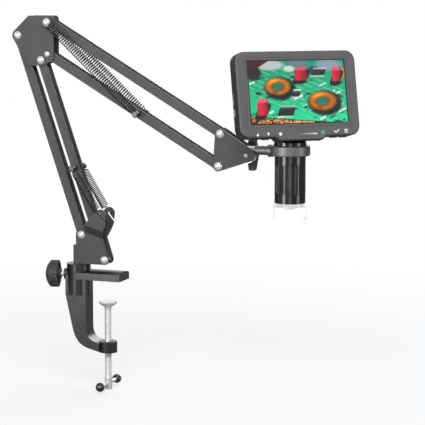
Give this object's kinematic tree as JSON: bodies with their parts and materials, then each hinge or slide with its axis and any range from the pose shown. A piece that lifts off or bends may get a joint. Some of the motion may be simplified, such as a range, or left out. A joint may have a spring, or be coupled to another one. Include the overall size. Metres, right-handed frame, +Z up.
{
  "type": "lcd digital microscope",
  "caption": "Screen microscope held over a desk by a two section parallel arm with balance springs, a turning base and a screw clamp",
  "frame": {"origin": "middle of the upper jaw's underside, on the axis of the clamp screw, where the jaw rests on the desk", "axes": "+Z up; +X from the clamp towards the microscope in the arm's plane; +Y to the back"},
  "size_m": [0.3787, 0.1097, 0.4052],
  "materials": {
    "cast_black": "satin black enamel on a casting",
    "sheet_black": "satin dark grey powder coat",
    "bright_metal": "bright plated steel",
    "dark_metal": "blackened steel",
    "spring_steel": "dark oiled spring wire",
    "knob_black": "moulded black plastic",
    "gloss_black": "glossy black plastic",
    "barrel_dark": "dark anodised satin",
    "clear_plastic": "clear moulded plastic",
    "lens_glass": "coated optical glass",
    "screen_glass": "flat display cover",
    "panel_dark": "display panel",
    "board_green": "printed board",
    "lamp_white": "white lamp body",
    "battery_silver": "foil pouch",
    "indicator_teal": "translucent light pipe",
    "case_grey": "fine satin grey plastic",
    "case_black": "fine satin black plastic",
    "key_black": "satin black plastic"
  },
  "bodies": {
    "clamp": {"clamp_frame": "cast_black"},
    "lock_knob": {"lock_knob_cap": "knob_black", "lock_knob_stud": "bright_metal"},
    "pressure_pad": {"pressure_pad": "bright_metal"},
    "clamp_screw": {"clamp_screw": "bright_metal"},
    "tommy_bar": {"tommy_bar": "bright_metal", "tommy_bar_balls": "gloss_black"},
    "turret": {"base_bracket": "sheet_black", "swivel_post": "bright_metal", "swivel_post_head": "bright_metal", "base_pivot_pins": "bright_metal"},
    "lower_outer": {"lower_outer_bar": "sheet_black"},
    "lower_inner": {"lower_inner_bar": "sheet_black", "lower_spring_pin": "dark_metal", "lower_spring_front": "spring_steel", "lower_spring_back": "spring_steel"},
    "elbow": {"elbow_plates": "sheet_black", "elbow_pivot_pins": "bright_metal", "elbow_spring_pin": "bright_metal"},
    "upper_top": {"upper_top_bar": "sheet_black"},
    "upper_bottom": {"upper_bottom_bar": "sheet_black", "upper_spring_pin": "dark_metal", "upper_spring_front": "spring_steel", "upper_spring_back": "spring_steel"},
    "head": {"head_plates": "sheet_black", "head_pivot_pins": "bright_metal", "tilt_bolt": "bright_metal", "tilt_washer": "bright_metal"},
    "wing_handle": {"wing_handle": "knob_black"},
    "holder": {"tilt_knuckle": "bright_metal", "rod_sleeve": "dark_metal", "holder_ring": "barrel_dark"},
    "microscope": {"barrel_core": "barrel_dark", "barrel_nose": "barrel_dark", "lens_cell": "barrel_dark", "lens_glass": "lens_glass", "led_board": "board_green", "leds": "lamp_white", "sensor_board": "board_green", "front_bezel": "case_grey", "rear_housing": "case_black", "cover_glass": "screen_glass", "lcd_panel": "panel_dark", "main_board": "board_green", "battery": "battery_silver", "indicator_window": "indicator_teal"},
    "focus_ring": {"focus_ring": "barrel_dark"},
    "light_shroud": {"light_shroud": "clear_plastic"},
    "key_up": {"key_up": "key_black"},
    "key_down": {"key_down": "key_black"},
    "key_dot": {"key_dot": "key_black"},
    "key_tick": {"key_tick": "key_black"},
    "key_list": {"key_list": "key_black"}
  },
  "joints": [
    {"name": "knob_turn", "type": "hinge", "parent": "clamp", "child": "lock_knob", "pos_m": [-0.06962, -0.00883, 0.0043], "axis": [0.9703, 0.2419, 0], "range_deg": [-360, 360]},
    {"name": "pad_rise", "type": "slide", "parent": "clamp", "child": "pressure_pad", "axis": [0, 0, 1], "range_m": [-0.03, 0.0195]},
    {"name": "screw_turn", "type": "hinge", "parent": "pressure_pad", "child": "clamp_screw", "pos_m": [0, 0, -0.024], "axis": [0, 0, 1], "range_deg": [-7210, 4690]},
    {"name": "tommy_slide", "type": "slide", "parent": "clamp_screw", "child": "tommy_bar", "axis": [0, 1, 0], "range_m": [-0.014, 0.014]},
    {"name": "base_swivel", "type": "hinge", "parent": "clamp", "child": "turret", "pos_m": [-0.0342, 0, 0.0165], "axis": [0, 0, 1], "range_deg": [-125, 150]},
    {"name": "lower_arm", "type": "hinge", "parent": "turret", "child": "lower_outer", "pos_m": [-0.028, 0, 0.0485], "axis": [0, 1, 0], "range_deg": [-9.5, 40]},
    {"name": "lower_inner_pivot", "type": "hinge", "parent": "turret", "child": "lower_inner", "pos_m": [-0.0009, 0, 0.022], "axis": [0, 1, 0], "range_deg": [-9.5, 40], "deforming": ["lower_spring_front", "lower_spring_back"]},
    {"name": "elbow_level", "type": "hinge", "parent": "lower_outer", "child": "elbow", "pos_m": [-0.10099, 0, 0.26292], "axis": [0, 1, 0], "range_deg": [-40, 9.5]},
    {"name": "upper_arm", "type": "hinge", "parent": "elbow", "child": "upper_top", "pos_m": [-0.06389, 0, 0.27712], "axis": [0, 1, 0], "range_deg": [-40, 20]},
    {"name": "upper_bottom_pivot", "type": "hinge", "parent": "elbow", "child": "upper_bottom", "pos_m": [-0.06609, 0, 0.24302], "axis": [0, 1, 0], "range_deg": [-40, 20], "deforming": ["upper_spring_front", "upper_spring_back"]},
    {"name": "head_level", "type": "hinge", "parent": "upper_top", "child": "head", "pos_m": [0.13167, 0, 0.16284], "axis": [0, 1, 0], "range_deg": [-20, 40]},
    {"name": "wing_turn", "type": "hinge", "parent": "head", "child": "wing_handle", "pos_m": [0.16047, 0, 0.14104], "axis": [0, 1, 0], "continuous": true},
    {"name": "head_tilt", "type": "hinge", "parent": "head", "child": "holder", "pos_m": [0.16047, 0, 0.14104], "axis": [0, 1, 0], "range_deg": [-20, 20]},
    {"name": "scope_turn", "type": "hinge", "parent": "holder", "child": "microscope", "pos_m": [0.20657, 0, 0.14224], "axis": [0, 0, 1], "range_deg": [-17, 97]},
    {"name": "focus_turn", "type": "hinge", "parent": "microscope", "child": "focus_ring", "pos_m": [0.20657, 0, 0.10264], "axis": [0, 0, 1], "range_deg": [-150, 150]},
    {"name": "shroud_pull", "type": "slide", "parent": "microscope", "child": "light_shroud", "axis": [0, 0, -1], "range_m": [0, 0.012]},
    {"name": "press_up", "type": "slide", "parent": "microscope", "child": "key_up", "axis": [-0.1364, 0.1569, 0.9781], "range_m": [0, 0.0006], "stiffness_N_per_m": 900},
    {"name": "press_down", "type": "slide", "parent": "microscope", "child": "key_down", "axis": [-0.1364, 0.1569, 0.9781], "range_m": [0, 0.0006], "stiffness_N_per_m": 900},
    {"name": "press_dot", "type": "slide", "parent": "microscope", "child": "key_dot", "axis": [-0.1364, 0.1569, 0.9781], "range_m": [0, 0.0006], "stiffness_N_per_m": 900},
    {"name": "press_tick", "type": "slide", "parent": "microscope", "child": "key_tick", "axis": [-0.1364, 0.1569, 0.9781], "range_m": [0, 0.0006], "stiffness_N_per_m": 900},
    {"name": "press_list", "type": "slide", "parent": "microscope", "child": "key_list", "axis": [-0.1364, 0.1569, 0.9781], "range_m": [0, 0.0006], "stiffness_N_per_m": 900}
  ],
  "couplings": [
    {"joint": "screw_turn", "follows": "pad_rise", "rad_per_m": 4188.8},
    {"joint": "lower_inner_pivot", "follows": "lower_arm", "ratio": 1},
    {"joint": "elbow_level", "follows": "lower_arm", "ratio": -1},
    {"joint": "upper_bottom_pivot", "follows": "upper_arm", "ratio": 1},
    {"joint": "head_level", "follows": "upper_arm", "ratio": -1}
  ]
}
